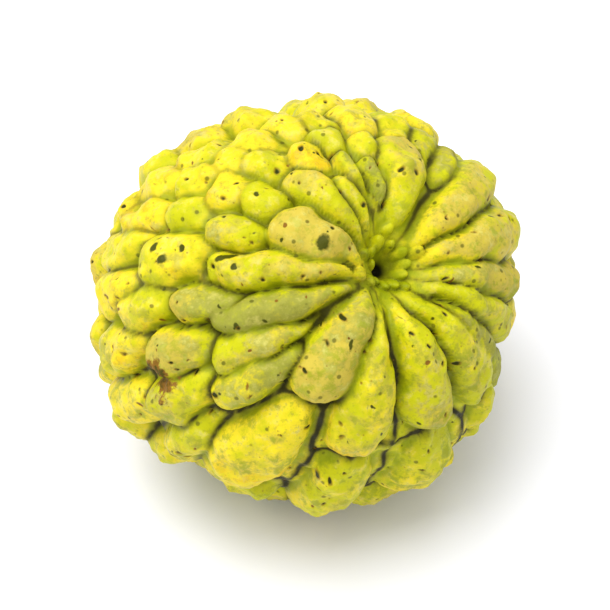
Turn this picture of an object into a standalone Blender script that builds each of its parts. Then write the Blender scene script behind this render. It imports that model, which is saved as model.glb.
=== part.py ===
"""A whole custard apple (sugar apple), picked without its stem and lying on the surface.

The fruit is one grown piece: several dozen fleshy lobes, fused side by side over a round core. A
sphere is raised to the height of the core and of the lobe over each of its points, tipped over to
the way the fruit lies, and cut flat where its lowest lobes carry it.

The fruit's own frame has its stem end at +Z. Bearings run clockwise round the stem end, seen from
outside, from +Y. Polar angles run from the stem end (0) to the blossom end (180). Angles are in
degrees and lengths in metres.
"""

import math

import bmesh
import bpy
import numpy as np
from mathutils import Matrix

MM = 0.001

# The round form that the tops of the lobes keep to
RADIUS = 42.0 * MM
STEM_FLATTENING = 2.0 * MM
BLOSSOM_FLATTENING = 4.0 * MM
DIMPLE_DEPTH = 7.0 * MM  # the hollow where the stem was
DIMPLE_SPREAD = 15.0
SWELLINGS = [  # where it grew fuller or less full: bearing, polar angle, millimetres, spread
    (68, 56, 3.0, 24),
    (140, 76, 3.6, 17),
    (240, 124, 3.0, 16),
    (318, 106, -1.8, 16),
    (347, 86, -4.0, 24),
    (206, 114, -2.6, 20),
]

# The lobes
LOBE_RISE = 4.8 * MM  # from the creases to the round form
CREASE_ROUNDING = 0.35 * MM
FAR_BELOW = -40.0  # a lobe this many roundings below the highest one has no say
CROWN = 0.62  # where a lobe is highest, along its length from the stem's side
ROUND_SIDES = 2.2  # the powers that a lobe falls away by: across it, towards its
BLUNT_NOSE = 3.0  # outer end
SLOPING_ROOT = 2.6  # and towards its inner end
FULLNESS = 0.68  # below 1, a lobe bulges and its walls are steep
DEEPEST = 0.4 * LOBE_RISE  # how far a gap between lobes may fall below the creases
SIDE_LOBES_START = 40.0  # the polar angle beyond which they grow
SIDE_LOBE_SPACING = 12.0 * MM
CLOSEST = 0.93  # how near two of them may start, as a share of that
SIDE_LOBE_MARGIN = 4.6 * MM  # from the edges of the placed lobes to the middles of these
SIDE_LOBE_WIDTH = 13.0 * MM
WIDTH_SPREAD = (0.94, 1.08)  # the narrowest and the widest of them, as shares of that
SIDE_LOBE_LENGTH = 15.5 * MM
SIDE_LOBE_RISE = 4.6 * MM
RISE_SPREAD = (0.9, 1.1)
SIDE_LOBE_TAPER = 0.8
SPIRAL_STEPS = 1500
EVENING_STEPS = 20
EVENING_PUSH = 0.2
FAR_APART = 2.0  # across the unit sphere: no lobe is pushed by itself
TINY = 1e-6
GOLDEN_ANGLE = 180.0 * (3.0 - math.sqrt(5.0))
SEED = 5

# How it lies: turned about its own axis, tipped over, and turned to its heading
ROLL = 49.9
LEAN = 40.4
HEADING = -34.7
FLAT_DEPTH = 1.6 * MM  # how much of the lowest lobes is pressed flat

# Meshing
CUTS = 71  # across each face of the cube that the sphere is made from
CUBE_FACES = 6
TRIANGLES = 9000

# The block that the flat spots are cut with, and the skin's paint
BLOCK_SIDE = 4.0 * RADIUS
SKIN_COLOUR = (0.52, 0.53, 0.06, 1.0)
SKIN_ROUGHNESS = 0.55

# Each lobe: its inner end (bearing, polar), its outer end (bearing, polar), its width and its
# rise above the creases in millimetres, and the width of its inner end as a share of its width.
PETALS = [
    (192, 12, 161, 55, 14.0, 5.4, 0.4),
    (158, 12, 134, 58, 11.5, 4.8, 0.5),
    (137, 18, 123, 50, 7.5, 3.8, 0.6),
    (123, 13, 109, 58, 9.0, 4.4, 0.6),
    (108, 12, 93, 60, 9.5, 4.6, 0.6),
    (83, 11, 75, 63, 12.5, 5.4, 0.6),
    (49, 11, 55, 62, 12.0, 5.4, 0.6),
    (5, 12, 15, 43, 13.5, 5.0, 0.5),
    (352, 20, 349, 34, 4.5, 3.2, 0.5),
    (335, 22, 338, 38, 5.5, 3.4, 0.5),
    (324, 12, 326, 32, 5.0, 3.0, 0.5),
    (300, 13, 314, 44, 9.5, 4.2, 0.4),
    (272, 12, 288, 43, 12.0, 5.0, 0.4),
    (256, 15, 272, 60, 9.0, 4.6, 0.3),
    (246, 19, 255, 62, 8.5, 4.8, 0.3),
    (240, 34, 245, 66, 9.0, 4.6, 0.4),
    (232, 39, 234, 72, 9.5, 4.8, 0.5),
    (238, 14, 216, 51, 14.5, 6.0, 0.4),
    (219, 16, 189, 63, 14.5, 5.6, 0.2),
]
SHOULDER_LOBES = [
    (187, 59, 180, 99, 15.5, 4.6, 0.8),
    (158, 54, 156, 86, 15.0, 4.2, 0.8),
    (132, 52, 131, 74, 9.5, 3.6, 0.8),
    (120, 52, 117, 72, 8.5, 3.6, 0.8),
    (216, 49, 212, 97, 17.5, 5.2, 0.6),
    (198, 90, 200, 117, 13.0, 4.4, 0.8),
    (229, 76, 223, 105, 11.5, 4.6, 0.8),
    (241, 66, 239, 95, 11.5, 4.8, 0.7),
    (241, 88, 244, 117, 12.5, 4.6, 0.8),
    (249, 61, 253, 85, 10.5, 4.8, 0.7),
    (257, 82, 259, 112, 11.5, 4.6, 0.8),
    (259, 50, 264, 73, 9.5, 4.4, 0.7),
    (268, 69, 265, 93, 10.5, 4.0, 0.8),
    (274, 80, 273, 112, 11.5, 4.2, 0.8),
    (280, 56, 277, 83, 12.5, 3.8, 0.8),
    (283, 41, 285, 61, 8.5, 4.0, 0.7),
]
UPPER_LOBES = [
    (284, 78, 288, 108, 10.5, 3.2, 0.8),
    (294, 73, 294, 98, 10.0, 3.0, 0.8),
    (291, 57, 293, 75, 9.0, 3.0, 0.8),
    (300, 46, 300, 63, 11.5, 3.2, 0.8),
    (300, 37, 298, 52, 10.0, 3.4, 0.8),
    (304, 60, 304, 76, 10.5, 2.8, 0.8),
    (313, 51, 313, 68, 10.5, 2.8, 0.8),
    (316, 41, 315, 57, 10.5, 3.0, 0.8),
    (315, 63, 315, 83, 11.5, 2.8, 0.8),
    (305, 75, 305, 96, 11.5, 3.0, 0.8),
    (298, 88, 298, 111, 11.5, 3.2, 0.8),
    (323, 52, 323, 69, 11.0, 2.8, 0.8),
    (327, 34, 327, 49, 9.5, 3.0, 0.8),
    (339, 50, 339, 68, 12.0, 3.0, 0.8),
    (343, 36, 342, 50, 8.5, 3.2, 0.8),
    (356, 32, 356, 43, 8.0, 3.2, 0.8),
    (348, 46, 347, 62, 9.5, 3.0, 0.8),
    (359, 40, 4, 62, 12.5, 3.4, 0.8),
    (17, 40, 19, 62, 10.5, 3.4, 0.8),
    (27, 36, 31, 57, 9.5, 3.4, 0.8),
    (38, 32, 41, 52, 9.0, 3.8, 0.8),
]


def direction(bearing, polar):
    """The unit vector at a bearing and a polar angle, in the fruit's own frame."""
    b, t = np.radians(bearing), np.radians(polar)
    return np.stack([np.sin(t) * np.sin(b), np.sin(t) * np.cos(b), np.cos(t)], axis=-1)


def unit(vectors):
    return vectors / np.linalg.norm(vectors, axis=-1, keepdims=True)


def bell(points, bearing, polar, spread):
    """1 at one place on the fruit, falling away smoothly over that many degrees."""
    away = np.degrees(np.arccos(np.clip(points @ direction(bearing, polar), -1.0, 1.0)))
    return np.exp(-((away / spread) ** 2))


def form_radius(points):
    """The radius of the fruit's round form along each unit vector."""
    ends = np.where(points[:, 2] > 0, STEM_FLATTENING, BLOSSOM_FLATTENING) * points[:, 2] ** 2
    radius = RADIUS - ends - DIMPLE_DEPTH * bell(points, 0.0, 0.0, DIMPLE_SPREAD)
    for bearing, polar, out, spread in SWELLINGS:
        radius = radius + out * MM * bell(points, bearing, polar, spread)
    return radius


class Lobes:
    """The lobes' crowns, the directions along and across them, and their sizes."""

    def __init__(self, rows):
        inner = np.array([direction(row[0], row[1]) for row in rows])
        outer = np.array([direction(row[2], row[3]) for row in rows])
        self.crown = unit(inner * (1.0 - CROWN) + outer * CROWN)
        chord = outer - inner
        self.along = unit(chord - self.crown * np.sum(chord * self.crown, axis=1, keepdims=True))
        self.across = np.cross(self.crown, self.along)
        self.to_inner = self.reach(inner)
        self.to_outer = self.reach(outer)
        self.half_width = np.array([row[4] * MM / 2.0 for row in rows])
        self.rise = np.array([row[5] * MM for row in rows])
        self.taper = np.array([row[6] for row in rows])

    def reach(self, ends):
        """How far each end is from its lobe's crown, over the surface."""
        return RADIUS * np.arccos(np.sum(self.crown * ends, axis=1))

    def shares(self, points, margin=0.0):
        """How far out each point is on each lobe: 0 at its crown, 1 at its edge."""
        angle = np.arccos(np.clip(points @ self.crown.T, -1.0, 1.0))
        stretch = RADIUS * angle / np.maximum(np.sin(angle), TINY)
        along = points @ self.along.T * stretch
        across = np.abs(points @ self.across.T) * stretch
        length = np.where(along > 0, self.to_outer, self.to_inner) + margin
        u = along / length
        narrowing = 1.0 + (self.taper - 1.0) * np.clip(-u, 0.0, 1.0)
        v = across / (self.half_width * narrowing + margin)
        return v**ROUND_SIDES + np.abs(u) ** np.where(along > 0, BLUNT_NOSE, SLOPING_ROOT)


def side_middles(placed):
    """Where the lobes of the sides and the blossom end sit: close together along a spiral."""
    steps = np.arange(SPIRAL_STEPS) + 0.5
    polar = np.degrees(np.arccos(1.0 - 2.0 * steps / SPIRAL_STEPS))
    spiral = direction(steps * GOLDEN_ANGLE, polar)[polar > SIDE_LOBES_START]
    spiral = spiral[placed.shares(spiral, margin=SIDE_LOBE_MARGIN).min(axis=1) > 1.0]
    spacing = SIDE_LOBE_SPACING / RADIUS
    middles = []
    for place in spiral:
        if all(np.linalg.norm(place - other) > CLOSEST * spacing for other in middles):
            middles.append(place)
    middles = np.array(middles)
    for _ in range(EVENING_STEPS):
        others = np.concatenate([middles, placed.crown])
        gap = middles[:, None, :] - others[None, :, :]
        distance = np.linalg.norm(gap, axis=2)
        np.fill_diagonal(distance, FAR_APART)
        push = np.clip(spacing / distance - 1.0, 0.0, None)
        middles = unit(middles + EVENING_PUSH * np.sum(gap * push[:, :, None], axis=1))
    return middles


def side_rows(placed):
    """The lobes of the sides and the blossom end, as rows like those of the placed lobes."""
    rng = np.random.default_rng(SEED)
    half = 0.5 * math.degrees(SIDE_LOBE_LENGTH / RADIUS)
    rows = []
    for place in side_middles(placed):
        bearing = math.degrees(math.atan2(place[0], place[1]))
        polar = math.degrees(math.acos(max(-1.0, min(1.0, place[2]))))
        width = SIDE_LOBE_WIDTH / MM * rng.uniform(*WIDTH_SPREAD)
        rise = SIDE_LOBE_RISE / MM * rng.uniform(*RISE_SPREAD)
        rows.append((bearing, polar - half, bearing, polar + half, width, rise, SIDE_LOBE_TAPER))
    return rows


def surface_radius(points, lobes):
    """The radius of the skin along each unit vector: the highest lobe there, with soft creases."""
    share = lobes.shares(points)
    bulge = np.clip(1.0 - share, 0.0, None) ** FULLNESS
    heights = lobes.rise * np.where(share < 1.0, bulge, 1.0 - share)
    top = heights.max(axis=1, keepdims=True)
    blend = np.exp(np.maximum((heights - top) / CREASE_ROUNDING, FAR_BELOW))
    skin = top[:, 0] + CREASE_ROUNDING * np.log(blend.sum(axis=1))
    return form_radius(points) - LOBE_RISE + np.maximum(skin, -DEEPEST)


def even_sphere(bm):
    """Turns the mesh of a cube of side 2, cut into squares, into even points on a unit sphere."""
    corners = np.array([v.co for v in bm.verts])
    return unit(np.tan(corners * math.pi / 4.0))


def fruit_mesh(lobes):
    """The skin as a closed mesh, lying as the fruit lies, with its lowest lobe below zero."""
    bm = bmesh.new()
    bmesh.ops.create_cube(bm, size=2.0)
    bmesh.ops.subdivide_edges(bm, edges=bm.edges[:], cuts=CUTS, use_grid_fill=True)
    points = even_sphere(bm)
    places = points * surface_radius(points, lobes)[:, None]
    for vert, place in zip(bm.verts, places):
        vert.co = place
    tip = Matrix.Rotation(math.radians(LEAN), 3, "Y") @ Matrix.Rotation(math.radians(ROLL), 3, "Z")
    bmesh.ops.rotate(bm, verts=bm.verts, matrix=Matrix.Rotation(math.radians(HEADING), 3, "Z") @ tip)
    low = np.array([v.co for v in bm.verts]).min(axis=0)
    high = np.array([v.co for v in bm.verts]).max(axis=0)
    middle = (low + high) / 2.0
    bmesh.ops.translate(bm, verts=bm.verts, vec=(-middle[0], -middle[1], -low[2] - FLAT_DEPTH))
    mesh = bpy.data.meshes.new("fruit")
    bm.to_mesh(mesh)
    bm.free()
    return mesh


def skin_material():
    material = bpy.data.materials.new("yellow_green_skin")
    material.use_nodes = True
    shader = material.node_tree.nodes["Principled BSDF"]
    shader.inputs["Base Color"].default_value = SKIN_COLOUR
    shader.inputs["Roughness"].default_value = SKIN_ROUGHNESS
    shader.inputs["Metallic"].default_value = 0.0
    return material


def surface_cutter(collection):
    """The block under the fruit whose top is the surface that the fruit is pressed flat on."""
    bpy.ops.mesh.primitive_cube_add(size=BLOCK_SIDE, location=(0.0, 0.0, -BLOCK_SIDE / 2.0))
    cutter = bpy.context.active_object
    cutter.name = "surface_cutter"
    cutter.hide_render = True
    cutter.display_type = "WIRE"
    for old in cutter.users_collection:
        old.objects.unlink(cutter)
    collection.objects.link(cutter)
    return cutter


def new_collection(name):
    collection = bpy.data.collections.new(name)
    bpy.context.scene.collection.children.link(collection)
    return collection


def main():
    for obj in list(bpy.data.objects):
        bpy.data.objects.remove(obj, do_unlink=True)
    placed = PETALS + SHOULDER_LOBES + UPPER_LOBES
    lobes = Lobes(placed + side_rows(Lobes(placed)))
    fruit = bpy.data.objects.new("fruit", fruit_mesh(lobes))
    fruit.data.materials.append(skin_material())
    fruit.data.shade_smooth()
    new_collection("custard_apple").objects.link(fruit)
    thin = fruit.modifiers.new("thin", "DECIMATE")
    thin.ratio = TRIANGLES / (2 * CUBE_FACES * (CUTS + 1) ** 2)
    flat = fruit.modifiers.new("flat_spots", "BOOLEAN")
    flat.operation = "DIFFERENCE"
    flat.solver = "EXACT"
    flat.object = surface_cutter(new_collection("cutters"))


main()
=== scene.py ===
# %% [markdown]
# # A custard apple, lobe by lobe
#
# A custard apple (also sold as a sugar apple or sweetsop) is one fruit that many small ones have
# grown into. Each knob on its skin is the outside of one of them. This lesson builds the skin as
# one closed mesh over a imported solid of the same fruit, and then paints it with nodes. It could be
# sculpted by hand, but a shape that comes from a table of lobes can be changed lobe by lobe.

import math

import bmesh
import bpy
import numpy as np
from mathutils import Matrix, Vector


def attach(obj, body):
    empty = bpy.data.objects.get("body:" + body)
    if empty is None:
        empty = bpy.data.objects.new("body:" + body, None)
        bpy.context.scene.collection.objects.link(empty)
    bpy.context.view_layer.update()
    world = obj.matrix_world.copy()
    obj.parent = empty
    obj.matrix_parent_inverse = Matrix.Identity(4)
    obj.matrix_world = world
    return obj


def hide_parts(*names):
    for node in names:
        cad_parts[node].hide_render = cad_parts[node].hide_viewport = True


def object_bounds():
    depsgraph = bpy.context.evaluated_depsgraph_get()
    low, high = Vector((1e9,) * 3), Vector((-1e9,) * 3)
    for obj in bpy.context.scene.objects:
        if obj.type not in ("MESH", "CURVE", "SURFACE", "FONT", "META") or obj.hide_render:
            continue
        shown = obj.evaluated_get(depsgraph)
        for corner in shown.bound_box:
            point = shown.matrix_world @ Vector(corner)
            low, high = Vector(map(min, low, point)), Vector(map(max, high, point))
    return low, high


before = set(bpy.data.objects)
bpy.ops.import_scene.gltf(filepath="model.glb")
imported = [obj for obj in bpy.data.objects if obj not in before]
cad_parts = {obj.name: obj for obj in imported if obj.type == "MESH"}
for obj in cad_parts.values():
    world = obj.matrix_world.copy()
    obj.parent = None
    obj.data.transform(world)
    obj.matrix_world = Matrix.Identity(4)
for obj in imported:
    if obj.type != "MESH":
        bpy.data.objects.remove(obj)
solid_low, solid_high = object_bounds()
MM = 0.001
print("the solid is", [round(side / MM, 1) for side in solid_high - solid_low], "mm")

# %% [markdown]
# ## The round form
#
# Before it has any lobes the fruit is a ball, a little flatter at both ends, with a deep hollow
# where its stem was. We describe every place on it by two angles, as on a globe: the bearing runs
# clockwise round the stem end, and the polar angle runs from the stem end (0) to the blossom end
# (180). A formula for the radius is easier to tune than a sculpted ball, and it stays smooth.

# %% Places on a ball
def direction(bearing, polar):
    """The unit vector at a bearing and a polar angle, in the fruit's own frame."""
    b, t = np.radians(bearing), np.radians(polar)
    return np.stack([np.sin(t) * np.sin(b), np.sin(t) * np.cos(b), np.cos(t)], axis=-1)


def unit(vectors):
    """Each vector, made one long."""
    return vectors / np.linalg.norm(vectors, axis=-1, keepdims=True)


def angle_from(points, bearing, polar):
    """How many degrees each unit vector is from one place."""
    return np.degrees(np.arccos(np.clip(points @ direction(bearing, polar), -1.0, 1.0)))


def bell(distance, spread):
    """1 at no distance, falling away smoothly over the spread."""
    return np.exp(-((distance / spread) ** 2))


def stem_bell(points, spread):
    """1 at the stem end, falling away smoothly over a spread in degrees."""
    return bell(angle_from(points, 0, 0), spread)


print("the stem end points along", direction(0, 0))

# %% The round form
RADIUS = 42.0 * MM
STEM_FLATTENING = 2.0 * MM
BLOSSOM_FLATTENING = 4.0 * MM
DIMPLE_DEPTH = 7.0 * MM
DIMPLE_SPREAD = 15.0
SWELLINGS = [  # bearing, polar angle, millimetres out or in, spread
    (68, 56, 3.0, 24),
    (140, 76, 3.6, 17),
    (240, 124, 3.0, 16),
    (318, 106, -1.8, 16),
    (347, 86, -4.0, 24),
    (206, 114, -2.6, 20),
]


def form_radius(points):
    """The radius of the round form along each unit vector."""
    ends = np.where(points[:, 2] > 0, STEM_FLATTENING, BLOSSOM_FLATTENING) * points[:, 2] ** 2
    radius = RADIUS - ends - DIMPLE_DEPTH * stem_bell(points, DIMPLE_SPREAD)
    for bearing, polar, out, spread in SWELLINGS:
        radius = radius + out * MM * bell(angle_from(points, bearing, polar), spread)
    return radius


stem_radius = form_radius(direction(0, np.zeros(1)))[0]
print("from the core to the bottom of the hollow:", round(stem_radius / MM, 1), "mm")

# %% [markdown]
# ## The lobes
#
# Round the stem the lobes are long petals that lie side by side. Further out they are shorter and
# overlap like tiles. A rule could place them all, but the ones that show most are placed one at a
# time, because their sizes and crowding give this fruit its character. Each row holds the inner
# end and the outer end (bearing, polar), the width and the rise in millimetres, the width of the
# inner end as a share of the whole, and the skin's tone at the inner and the outer end.

# %% The petals round the stem
PETALS = [
    (192, 12, 161, 55, 14.0, 5.4, 0.4, "lime", "khaki"),
    (158, 12, 134, 58, 11.5, 4.8, 0.5, "lime", "lime"),
    (137, 18, 123, 50, 7.5, 3.8, 0.6, "khaki", "olive"),
    (123, 13, 109, 58, 9.0, 4.4, 0.6, "lime", "khaki"),
    (108, 12, 93, 60, 9.5, 4.6, 0.6, "khaki", "tan"),
    (83, 11, 75, 63, 12.5, 5.4, 0.6, "tan", "lime"),
    (49, 11, 55, 62, 12.0, 5.4, 0.6, "tan", "lime"),
    (5, 12, 15, 43, 13.5, 5.0, 0.5, "lime", "tan"),
    (352, 20, 349, 34, 4.5, 3.2, 0.5, "olive", "khaki"),
    (335, 22, 338, 38, 5.5, 3.4, 0.5, "lime", "olive"),
    (324, 12, 326, 32, 5.0, 3.0, 0.5, "lime", "lime"),
    (300, 13, 314, 44, 9.5, 4.2, 0.4, "lime", "tan"),
    (272, 12, 288, 43, 12.0, 5.0, 0.4, "tan", "tan"),
    (256, 15, 272, 60, 9.0, 4.6, 0.3, "tan", "lime"),
    (246, 19, 255, 62, 8.5, 4.8, 0.3, "khaki", "olive"),
    (240, 34, 245, 66, 9.0, 4.6, 0.4, "khaki", "lime"),
    (232, 39, 234, 72, 9.5, 4.8, 0.5, "olive", "yellow"),
    (238, 14, 216, 51, 14.5, 6.0, 0.4, "khaki", "tan"),
    (219, 16, 189, 63, 14.5, 5.6, 0.2, "lime", "cream"),
]
print(len(PETALS), "petals")

# %% The lobes of the shoulder
SHOULDER_LOBES = [
    (187, 59, 180, 99, 15.5, 4.6, 0.8, "lime", "yellow"),
    (158, 54, 156, 86, 15.0, 4.2, 0.8, "lime", "yellow"),
    (132, 52, 131, 74, 9.5, 3.6, 0.8, "lime", "khaki"),
    (120, 52, 117, 72, 8.5, 3.6, 0.8, "olive", "khaki"),
    (216, 49, 212, 97, 17.5, 5.2, 0.6, "cream", "yellow"),
    (198, 90, 200, 117, 13.0, 4.4, 0.8, "lime", "yellow"),
    (229, 76, 223, 105, 11.5, 4.6, 0.8, "lime", "yellow"),
    (241, 66, 239, 95, 11.5, 4.8, 0.7, "lime", "khaki"),
    (241, 88, 244, 117, 12.5, 4.6, 0.8, "yellow", "yellow"),
    (249, 61, 253, 85, 10.5, 4.8, 0.7, "khaki", "tan"),
    (257, 82, 259, 112, 11.5, 4.6, 0.8, "yellow", "lime"),
    (259, 50, 264, 73, 9.5, 4.4, 0.7, "olive", "tan"),
    (268, 69, 265, 93, 10.5, 4.0, 0.8, "lime", "yellow"),
    (274, 80, 273, 112, 11.5, 4.2, 0.8, "yellow", "yellow"),
    (280, 56, 277, 83, 12.5, 3.8, 0.8, "yellow", "lime"),
    (283, 41, 285, 61, 8.5, 4.0, 0.7, "lime", "khaki"),
]
print(len(SHOULDER_LOBES), "lobes on the shoulder")

# %% The lobes of the upper side
UPPER_LOBES = [
    (284, 78, 288, 108, 10.5, 3.2, 0.8, "lime", "yellow"),
    (294, 73, 294, 98, 10.0, 3.0, 0.8, "yellow", "yellow"),
    (291, 57, 293, 75, 9.0, 3.0, 0.8, "lime", "lime"),
    (300, 46, 300, 63, 11.5, 3.2, 0.8, "yellow", "yellow"),
    (300, 37, 298, 52, 10.0, 3.4, 0.8, "lime", "lime"),
    (304, 60, 304, 76, 10.5, 2.8, 0.8, "yellow", "lime"),
    (313, 51, 313, 68, 10.5, 2.8, 0.8, "cream", "yellow"),
    (316, 41, 315, 57, 10.5, 3.0, 0.8, "lime", "yellow"),
    (315, 63, 315, 83, 11.5, 2.8, 0.8, "lime", "yellow"),
    (305, 75, 305, 96, 11.5, 3.0, 0.8, "yellow", "yellow"),
    (298, 88, 298, 111, 11.5, 3.2, 0.8, "yellow", "lime"),
    (323, 52, 323, 69, 11.0, 2.8, 0.8, "cream", "cream"),
    (327, 34, 327, 49, 9.5, 3.0, 0.8, "yellow", "yellow"),
    (339, 50, 339, 68, 12.0, 3.0, 0.8, "yellow", "cream"),
    (343, 36, 342, 50, 8.5, 3.2, 0.8, "lime", "lime"),
    (356, 32, 356, 43, 8.0, 3.2, 0.8, "lime", "yellow"),
    (348, 46, 347, 62, 9.5, 3.0, 0.8, "lime", "yellow"),
    (359, 40, 4, 62, 12.5, 3.4, 0.8, "yellow", "yellow"),
    (17, 40, 19, 62, 10.5, 3.4, 0.8, "yellow", "lime"),
    (27, 36, 31, 57, 9.5, 3.4, 0.8, "khaki", "lime"),
    (38, 32, 41, 52, 9.0, 3.8, 0.8, "khaki", "khaki"),
]
print(len(UPPER_LOBES), "lobes on the upper side")

# %% The tones of the skin
TONES = {  # how yellow, how tan and how olive the skin is
    "lime": (0.15, 0.0, 0.0),
    "yellow": (0.9, 0.0, 0.0),
    "cream": (0.75, 0.4, 0.0),
    "tan": (0.7, 1.0, 0.1),
    "khaki": (0.4, 0.9, 0.55),
    "olive": (0.2, 0.6, 1.0),
}
placed_rows = PETALS + SHOULDER_LOBES + UPPER_LOBES
print(len(placed_rows), "lobes placed by hand")

# %% [markdown]
# ## The shape of one lobe
#
# Seen from above a lobe is a drop: narrow towards the stem, blunt at its outer end. It is highest
# beyond its middle. Each could be a mesh of its own, but on the fruit they are one skin with no
# gaps. So we lay a flat map over each lobe, centred on its crown, and measure how far out a point
# is along it and across it. The two are added, so the outline comes out as a rounded drop and the
# height can simply fall away with it.

# %% The shape of one lobe
CROWN = 0.62  # where a lobe is highest, along its length from the stem's side
ROUND_SIDES = 2.2  # the power that a lobe falls away by across it
BLUNT_NOSE = 3.0  # the same towards its outer end
SLOPING_ROOT = 2.6  # and towards its inner end
FULLNESS = 0.68  # below 1, a lobe bulges and its walls are steep
TINY = 1e-6  # keeps a crown's own angle from dividing by zero


class Lobes:
    """The lobes' crowns, the directions along and across them, and their sizes and tones."""

    def __init__(self, rows):
        inner = np.array([direction(row[0], row[1]) for row in rows])
        outer = np.array([direction(row[2], row[3]) for row in rows])
        self.crown = unit(inner * (1.0 - CROWN) + outer * CROWN)
        chord = outer - inner
        self.along = unit(chord - self.crown * np.sum(chord * self.crown, axis=1, keepdims=True))
        self.across = np.cross(self.crown, self.along)
        self.to_inner = self.reach(inner)
        self.to_outer = self.reach(outer)
        self.half_width = np.array([row[4] * MM / 2.0 for row in rows])
        self.rise = np.array([row[5] * MM for row in rows])
        self.taper = np.array([row[6] for row in rows])
        self.root_tone = np.array([TONES[row[7]] for row in rows])
        self.nose_tone = np.array([TONES[row[8]] for row in rows])

    def reach(self, ends):
        """How far each end is from its lobe's crown, over the surface."""
        return RADIUS * np.arccos(np.sum(self.crown * ends, axis=1))

    def shares(self, points, margin=0.0):
        """How far out each point is on each lobe, and how far along: -1 inner end, 1 outer."""
        angle = np.arccos(np.clip(points @ self.crown.T, -1.0, 1.0))
        stretch = RADIUS * angle / np.maximum(np.sin(angle), TINY)
        along = points @ self.along.T * stretch
        across = np.abs(points @ self.across.T) * stretch
        u = along / (np.where(along > 0, self.to_outer, self.to_inner) + margin)
        narrowing = 1.0 + (self.taper - 1.0) * np.clip(-u, 0.0, 1.0)
        v = across / (self.half_width * narrowing + margin)
        return v**ROUND_SIDES + np.abs(u) ** np.where(along > 0, BLUNT_NOSE, SLOPING_ROOT), u

    def heights(self, points):
        """How high each lobe would be at each point, and how far along it the point is."""
        share, u = self.shares(points)
        inside = np.clip(1.0 - share, 0.0, None) ** FULLNESS
        return self.rise * np.where(share < 1.0, inside, 1.0 - share), u


placed = Lobes(placed_rows)
print("the longest lobe is", round((placed.to_inner + placed.to_outer).max() / MM, 1), "mm")

# %% [markdown]
# ## The rest of the lobes
#
# The lobes of the sides and the blossom end are much alike, so a rule can place them. Carpels
# grow along a spiral, each a golden angle on from the last, the way seeds sit in a sunflower. We
# walk along such a spiral and keep each place that is a lobe's width from all the lobes so far. A
# few rounds of gentle pushing then even the gaps out.

# %% Where the other lobes sit
SIDE_LOBES_START = 40.0  # the polar angle
SIDE_LOBE_SPACING = 12.0 * MM
SIDE_LOBE_MARGIN = 4.6 * MM  # how far they keep from the placed lobes
SPIRAL_STEPS = 1500
GOLDEN_ANGLE = 180.0 * (3.0 - math.sqrt(5.0))
CLOSEST_START = 0.93  # how close two may start, as a share of the spacing
PUSHES = 20
PUSH = 0.2  # how much of the missing distance one push gives
FAR_APART = 2.0  # stands for a lobe's distance from itself, so that it isn't pushed


def side_middles(placed):
    """Where the lobes of the sides and the blossom end sit: close together along a spiral."""
    steps = np.arange(SPIRAL_STEPS) + 0.5
    polar = np.degrees(np.arccos(1.0 - 2.0 * steps / SPIRAL_STEPS))
    spiral = direction(steps * GOLDEN_ANGLE, polar)[polar > SIDE_LOBES_START]
    spiral = spiral[placed.shares(spiral, margin=SIDE_LOBE_MARGIN)[0].min(axis=1) > 1.0]
    spacing = SIDE_LOBE_SPACING / RADIUS
    middles = []
    for place in spiral:
        if all(np.linalg.norm(place - other) > CLOSEST_START * spacing for other in middles):
            middles.append(place)
    middles = np.array(middles)
    for _ in range(PUSHES):
        others = np.concatenate([middles, placed.crown])
        gap = middles[:, None, :] - others[None, :, :]
        distance = np.linalg.norm(gap, axis=2)
        np.fill_diagonal(distance, FAR_APART)
        push = np.clip(spacing / distance - 1.0, 0.0, None)
        middles = unit(middles + PUSH * np.sum(gap * push[:, :, None], axis=1))
    return middles


middles = side_middles(placed)
print(len(middles), "lobes placed along the spiral")

# %% What the other lobes are like
SIDE_LOBE_WIDTH = 13.0  # millimetres, as in the rows above
SIDE_LOBE_RISE = 4.6
SIDE_LOBE_LENGTH = 15.5 * MM
SIDE_LOBE_TAPER = 0.8
WIDTH_SPREAD = (0.94, 1.08)
RISE_SPREAD = (0.9, 1.1)
SIDE_TONES = ["lime", "lime", "yellow", "yellow", "cream", "khaki", "tan", "lime"]
SEED = 5


def side_rows(middles):
    """The lobes at those middles, as rows like those of the placed lobes."""
    rng = np.random.default_rng(SEED)
    tone_rng = np.random.default_rng(SEED + 1)
    half = 0.5 * math.degrees(SIDE_LOBE_LENGTH / RADIUS)
    rows = []
    for place in middles:
        bearing = math.degrees(math.atan2(place[0], place[1]))
        polar = math.degrees(math.acos(max(-1.0, min(1.0, place[2]))))
        width = SIDE_LOBE_WIDTH * rng.uniform(*WIDTH_SPREAD)
        rise = SIDE_LOBE_RISE * rng.uniform(*RISE_SPREAD)
        ends = (bearing, polar - half, bearing, polar + half)
        rows.append((*ends, width, rise, SIDE_LOBE_TAPER, *tone_rng.choice(SIDE_TONES, 2)))
    return rows


lobes = Lobes(placed_rows + side_rows(middles))
print(len(lobes.rise), "lobes in all")

# %% [markdown]
# ## Uneven growth
#
# Nothing on a real fruit is as clean as a formula. Two things break ours up: the outlines of the
# lobes wander a little, and the skin is lumpy. A noise texture could do this in a modifier, but we
# also need the numbers for the paint. So both come from waves that cross in random directions,
# which give a smooth and seamless pattern over the whole ball.

# %% Waves for uneven growth
WAVES = 28
LENGTH_SPREAD = (0.7, 1.4)


def waves(places, length, seed):
    """A smooth random pattern of about that wavelength, from about -1 to 1, at each place."""
    rng = np.random.default_rng(seed)
    headings = unit(rng.normal(size=(WAVES, 3)))
    numbers = 2.0 * math.pi / (length * rng.uniform(*LENGTH_SPREAD, WAVES))
    phases = rng.uniform(0.0, 2.0 * math.pi, WAVES)
    return np.sin(places @ (headings * numbers[:, None]).T + phases).sum(axis=1) / math.sqrt(WAVES)


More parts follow.
